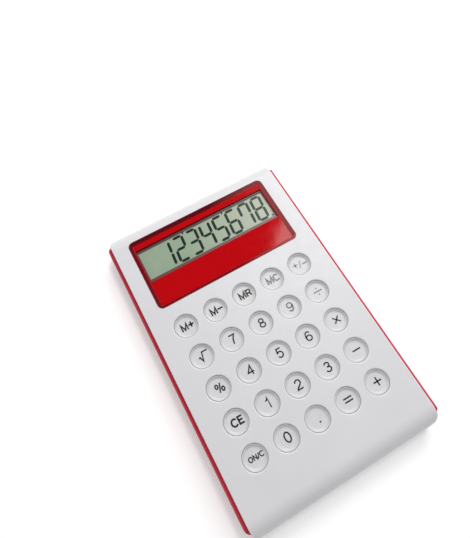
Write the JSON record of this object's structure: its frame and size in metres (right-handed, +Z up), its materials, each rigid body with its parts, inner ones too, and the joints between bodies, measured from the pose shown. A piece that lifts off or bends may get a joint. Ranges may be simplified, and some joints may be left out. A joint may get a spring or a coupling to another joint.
{
  "type": "desk calculator",
  "caption": "Slim desk calculator: white cover bent over both ends, red see-through side frame and display surround, round dished spring-back keys.",
  "frame": {"origin": "on the desk, under the middle of the case", "axes": "+X to the user's right, +Y from the user towards the display end, +Z up out of the keys"},
  "size_m": [0.08, 0.124, 0.0111],
  "materials": {
    "white_cover": "fine satin texture",
    "red_translucent": "glossy, see-through red",
    "key_white": "glossy",
    "dark_frame": "matt",
    "lcd_film": "satin",
    "lcd_glass": "clear",
    "lcd_reflector": "satin",
    "foam": "matt",
    "zebra_rubber": "matt",
    "board_green": "solder mask",
    "carbon_print": "matt",
    "black_resin": "gloss",
    "ceramic_parts": "matt",
    "nickel_steel": "bright",
    "silicone": "matt",
    "zinc_steel": "bright",
    "foot_rubber": "matt"
  },
  "bodies": {
    "case": {"front_cover": "white_cover", "rear_cover": "white_cover", "side_frame": "red_translucent", "display_bezel": "red_translucent", "lcd_holder": "dark_frame", "lcd_front_polarizer": "lcd_film", "lcd_front_glass": "lcd_glass", "lcd_rear_glass": "lcd_glass", "lcd_reflector": "lcd_reflector", "lcd_back_pad": "foam", "zebra_connector": "zebra_rubber", "main_board": "board_green", "contact_tracks": "carbon_print", "controller_chip": "black_resin", "board_components": "ceramic_parts", "button_cell": "nickel_steel", "cell_contact_minus": "nickel_steel", "cell_contact_plus": "nickel_steel", "keypad_mat": "silicone", "case_screws": "zinc_steel", "board_screws": "zinc_steel", "rubber_feet": "foot_rubber"},
    "battery_door": {"battery_door": "white_cover", "battery_door_screw": "zinc_steel"},
    "key_m_plus": {"key_m_plus": "key_white"},
    "key_m_minus": {"key_m_minus": "key_white"},
    "key_mr": {"key_mr": "key_white"},
    "key_mc": {"key_mc": "key_white"},
    "key_sign": {"key_sign": "key_white"},
    "key_root": {"key_root": "key_white"},
    "key_7": {"key_7": "key_white"},
    "key_8": {"key_8": "key_white"},
    "key_9": {"key_9": "key_white"},
    "key_divide": {"key_divide": "key_white"},
    "key_percent": {"key_percent": "key_white"},
    "key_4": {"key_4": "key_white"},
    "key_5": {"key_5": "key_white"},
    "key_6": {"key_6": "key_white"},
    "key_multiply": {"key_multiply": "key_white"},
    "key_ce": {"key_ce": "key_white"},
    "key_1": {"key_1": "key_white"},
    "key_2": {"key_2": "key_white"},
    "key_3": {"key_3": "key_white"},
    "key_minus": {"key_minus": "key_white"},
    "key_on_clear": {"key_on_clear": "key_white"},
    "key_0": {"key_0": "key_white"},
    "key_point": {"key_point": "key_white"},
    "key_equals": {"key_equals": "key_white"},
    "key_plus": {"key_plus": "key_white"}
  },
  "joints": [
    {"name": "key_m_plus_press", "type": "slide", "parent": "case", "child": "key_m_plus", "axis": [0, 0, -1], "range_m": [0, 0.0008], "stiffness_N_per_m": 900, "deforming": ["keypad_mat"]},
    {"name": "key_m_minus_press", "type": "slide", "parent": "case", "child": "key_m_minus", "axis": [0, 0, -1], "range_m": [0, 0.0008], "stiffness_N_per_m": 900, "deforming": ["keypad_mat"]},
    {"name": "key_mr_press", "type": "slide", "parent": "case", "child": "key_mr", "axis": [0, 0, -1], "range_m": [0, 0.0008], "stiffness_N_per_m": 900, "deforming": ["keypad_mat"]},
    {"name": "key_mc_press", "type": "slide", "parent": "case", "child": "key_mc", "axis": [0, 0, -1], "range_m": [0, 0.0008], "stiffness_N_per_m": 900, "deforming": ["keypad_mat"]},
    {"name": "key_sign_press", "type": "slide", "parent": "case", "child": "key_sign", "axis": [0, 0, -1], "range_m": [0, 0.0008], "stiffness_N_per_m": 900, "deforming": ["keypad_mat"]},
    {"name": "key_root_press", "type": "slide", "parent": "case", "child": "key_root", "axis": [0, 0, -1], "range_m": [0, 0.0008], "stiffness_N_per_m": 900, "deforming": ["keypad_mat"]},
    {"name": "key_7_press", "type": "slide", "parent": "case", "child": "key_7", "axis": [0, 0, -1], "range_m": [0, 0.0008], "stiffness_N_per_m": 900, "deforming": ["keypad_mat"]},
    {"name": "key_8_press", "type": "slide", "parent": "case", "child": "key_8", "axis": [0, 0, -1], "range_m": [0, 0.0008], "stiffness_N_per_m": 900, "deforming": ["keypad_mat"]},
    {"name": "key_9_press", "type": "slide", "parent": "case", "child": "key_9", "axis": [0, 0, -1], "range_m": [0, 0.0008], "stiffness_N_per_m": 900, "deforming": ["keypad_mat"]},
    {"name": "key_divide_press", "type": "slide", "parent": "case", "child": "key_divide", "axis": [0, 0, -1], "range_m": [0, 0.0008], "stiffness_N_per_m": 900, "deforming": ["keypad_mat"]},
    {"name": "key_percent_press", "type": "slide", "parent": "case", "child": "key_percent", "axis": [0, 0, -1], "range_m": [0, 0.0008], "stiffness_N_per_m": 900, "deforming": ["keypad_mat"]},
    {"name": "key_4_press", "type": "slide", "parent": "case", "child": "key_4", "axis": [0, 0, -1], "range_m": [0, 0.0008], "stiffness_N_per_m": 900, "deforming": ["keypad_mat"]},
    {"name": "key_5_press", "type": "slide", "parent": "case", "child": "key_5", "axis": [0, 0, -1], "range_m": [0, 0.0008], "stiffness_N_per_m": 900, "deforming": ["keypad_mat"]},
    {"name": "key_6_press", "type": "slide", "parent": "case", "child": "key_6", "axis": [0, 0, -1], "range_m": [0, 0.0008], "stiffness_N_per_m": 900, "deforming": ["keypad_mat"]},
    {"name": "key_multiply_press", "type": "slide", "parent": "case", "child": "key_multiply", "axis": [0, 0, -1], "range_m": [0, 0.0008], "stiffness_N_per_m": 900, "deforming": ["keypad_mat"]},
    {"name": "key_ce_press", "type": "slide", "parent": "case", "child": "key_ce", "axis": [0, 0, -1], "range_m": [0, 0.0008], "stiffness_N_per_m": 900, "deforming": ["keypad_mat"]},
    {"name": "key_1_press", "type": "slide", "parent": "case", "child": "key_1", "axis": [0, 0, -1], "range_m": [0, 0.0008], "stiffness_N_per_m": 900, "deforming": ["keypad_mat"]},
    {"name": "key_2_press", "type": "slide", "parent": "case", "child": "key_2", "axis": [0, 0, -1], "range_m": [0, 0.0008], "stiffness_N_per_m": 900, "deforming": ["keypad_mat"]},
    {"name": "key_3_press", "type": "slide", "parent": "case", "child": "key_3", "axis": [0, 0, -1], "range_m": [0, 0.0008], "stiffness_N_per_m": 900, "deforming": ["keypad_mat"]},
    {"name": "key_minus_press", "type": "slide", "parent": "case", "child": "key_minus", "axis": [0, 0, -1], "range_m": [0, 0.0008], "stiffness_N_per_m": 900, "deforming": ["keypad_mat"]},
    {"name": "key_on_clear_press", "type": "slide", "parent": "case", "child": "key_on_clear", "axis": [0, 0, -1], "range_m": [0, 0.0008], "stiffness_N_per_m": 900, "deforming": ["keypad_mat"]},
    {"name": "key_0_press", "type": "slide", "parent": "case", "child": "key_0", "axis": [0, 0, -1], "range_m": [0, 0.0008], "stiffness_N_per_m": 900, "deforming": ["keypad_mat"]},
    {"name": "key_point_press", "type": "slide", "parent": "case", "child": "key_point", "axis": [0, 0, -1], "range_m": [0, 0.0008], "stiffness_N_per_m": 900, "deforming": ["keypad_mat"]},
    {"name": "key_equals_press", "type": "slide", "parent": "case", "child": "key_equals", "axis": [0, 0, -1], "range_m": [0, 0.0008], "stiffness_N_per_m": 900, "deforming": ["keypad_mat"]},
    {"name": "key_plus_press", "type": "slide", "parent": "case", "child": "key_plus", "axis": [0, 0, -1], "range_m": [0, 0.0008], "stiffness_N_per_m": 900, "deforming": ["keypad_mat"]},
    {"name": "battery_door_lift", "type": "slide", "parent": "case", "child": "battery_door", "axis": [0, 0, -1], "range_m": [0, 0.012]}
  ]
}
